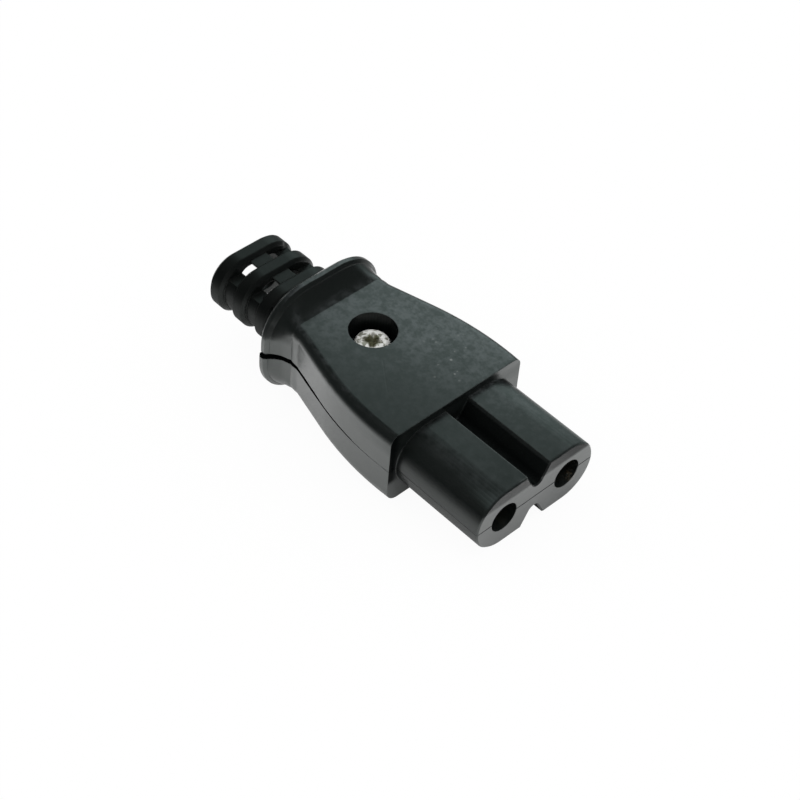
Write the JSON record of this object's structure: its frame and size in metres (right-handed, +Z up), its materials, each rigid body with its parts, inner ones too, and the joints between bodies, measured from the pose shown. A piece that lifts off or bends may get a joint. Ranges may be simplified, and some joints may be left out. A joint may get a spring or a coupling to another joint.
{
  "type": "figure eight power connector",
  "caption": "Rewireable figure eight power connector: split moulded body with a two-pole nose, a clamping screw in a deep recess and a slotted strain relief sleeve.",
  "frame": {"origin": "centre of the nose's end face, on the parting plane of the two shells", "axes": "+X the way the connector plugs in, +Z up out of the shell with the screw recess, +Y across the two poles"},
  "size_m": [0.0427, 0.0178, 0.0132],
  "materials": {
    "shell_plastic": "satin moulded black thermoplastic",
    "sleeve_rubber": "soft moulded black rubber",
    "plated_steel": "bright nickel plating",
    "contact_brass": "rolled brass, unplated"
  },
  "bodies": {
    "root": {"top_shell": "shell_plastic", "bottom_shell": "shell_plastic", "strain_relief_sleeve": "sleeve_rubber", "assembly_screw": "plated_steel", "assembly_nut": "plated_steel", "left_contact": "contact_brass", "right_contact": "contact_brass", "left_terminal": "contact_brass", "right_terminal": "contact_brass", "left_terminal_screw": "plated_steel", "right_terminal_screw": "plated_steel"}
  },
  "joints": []
}
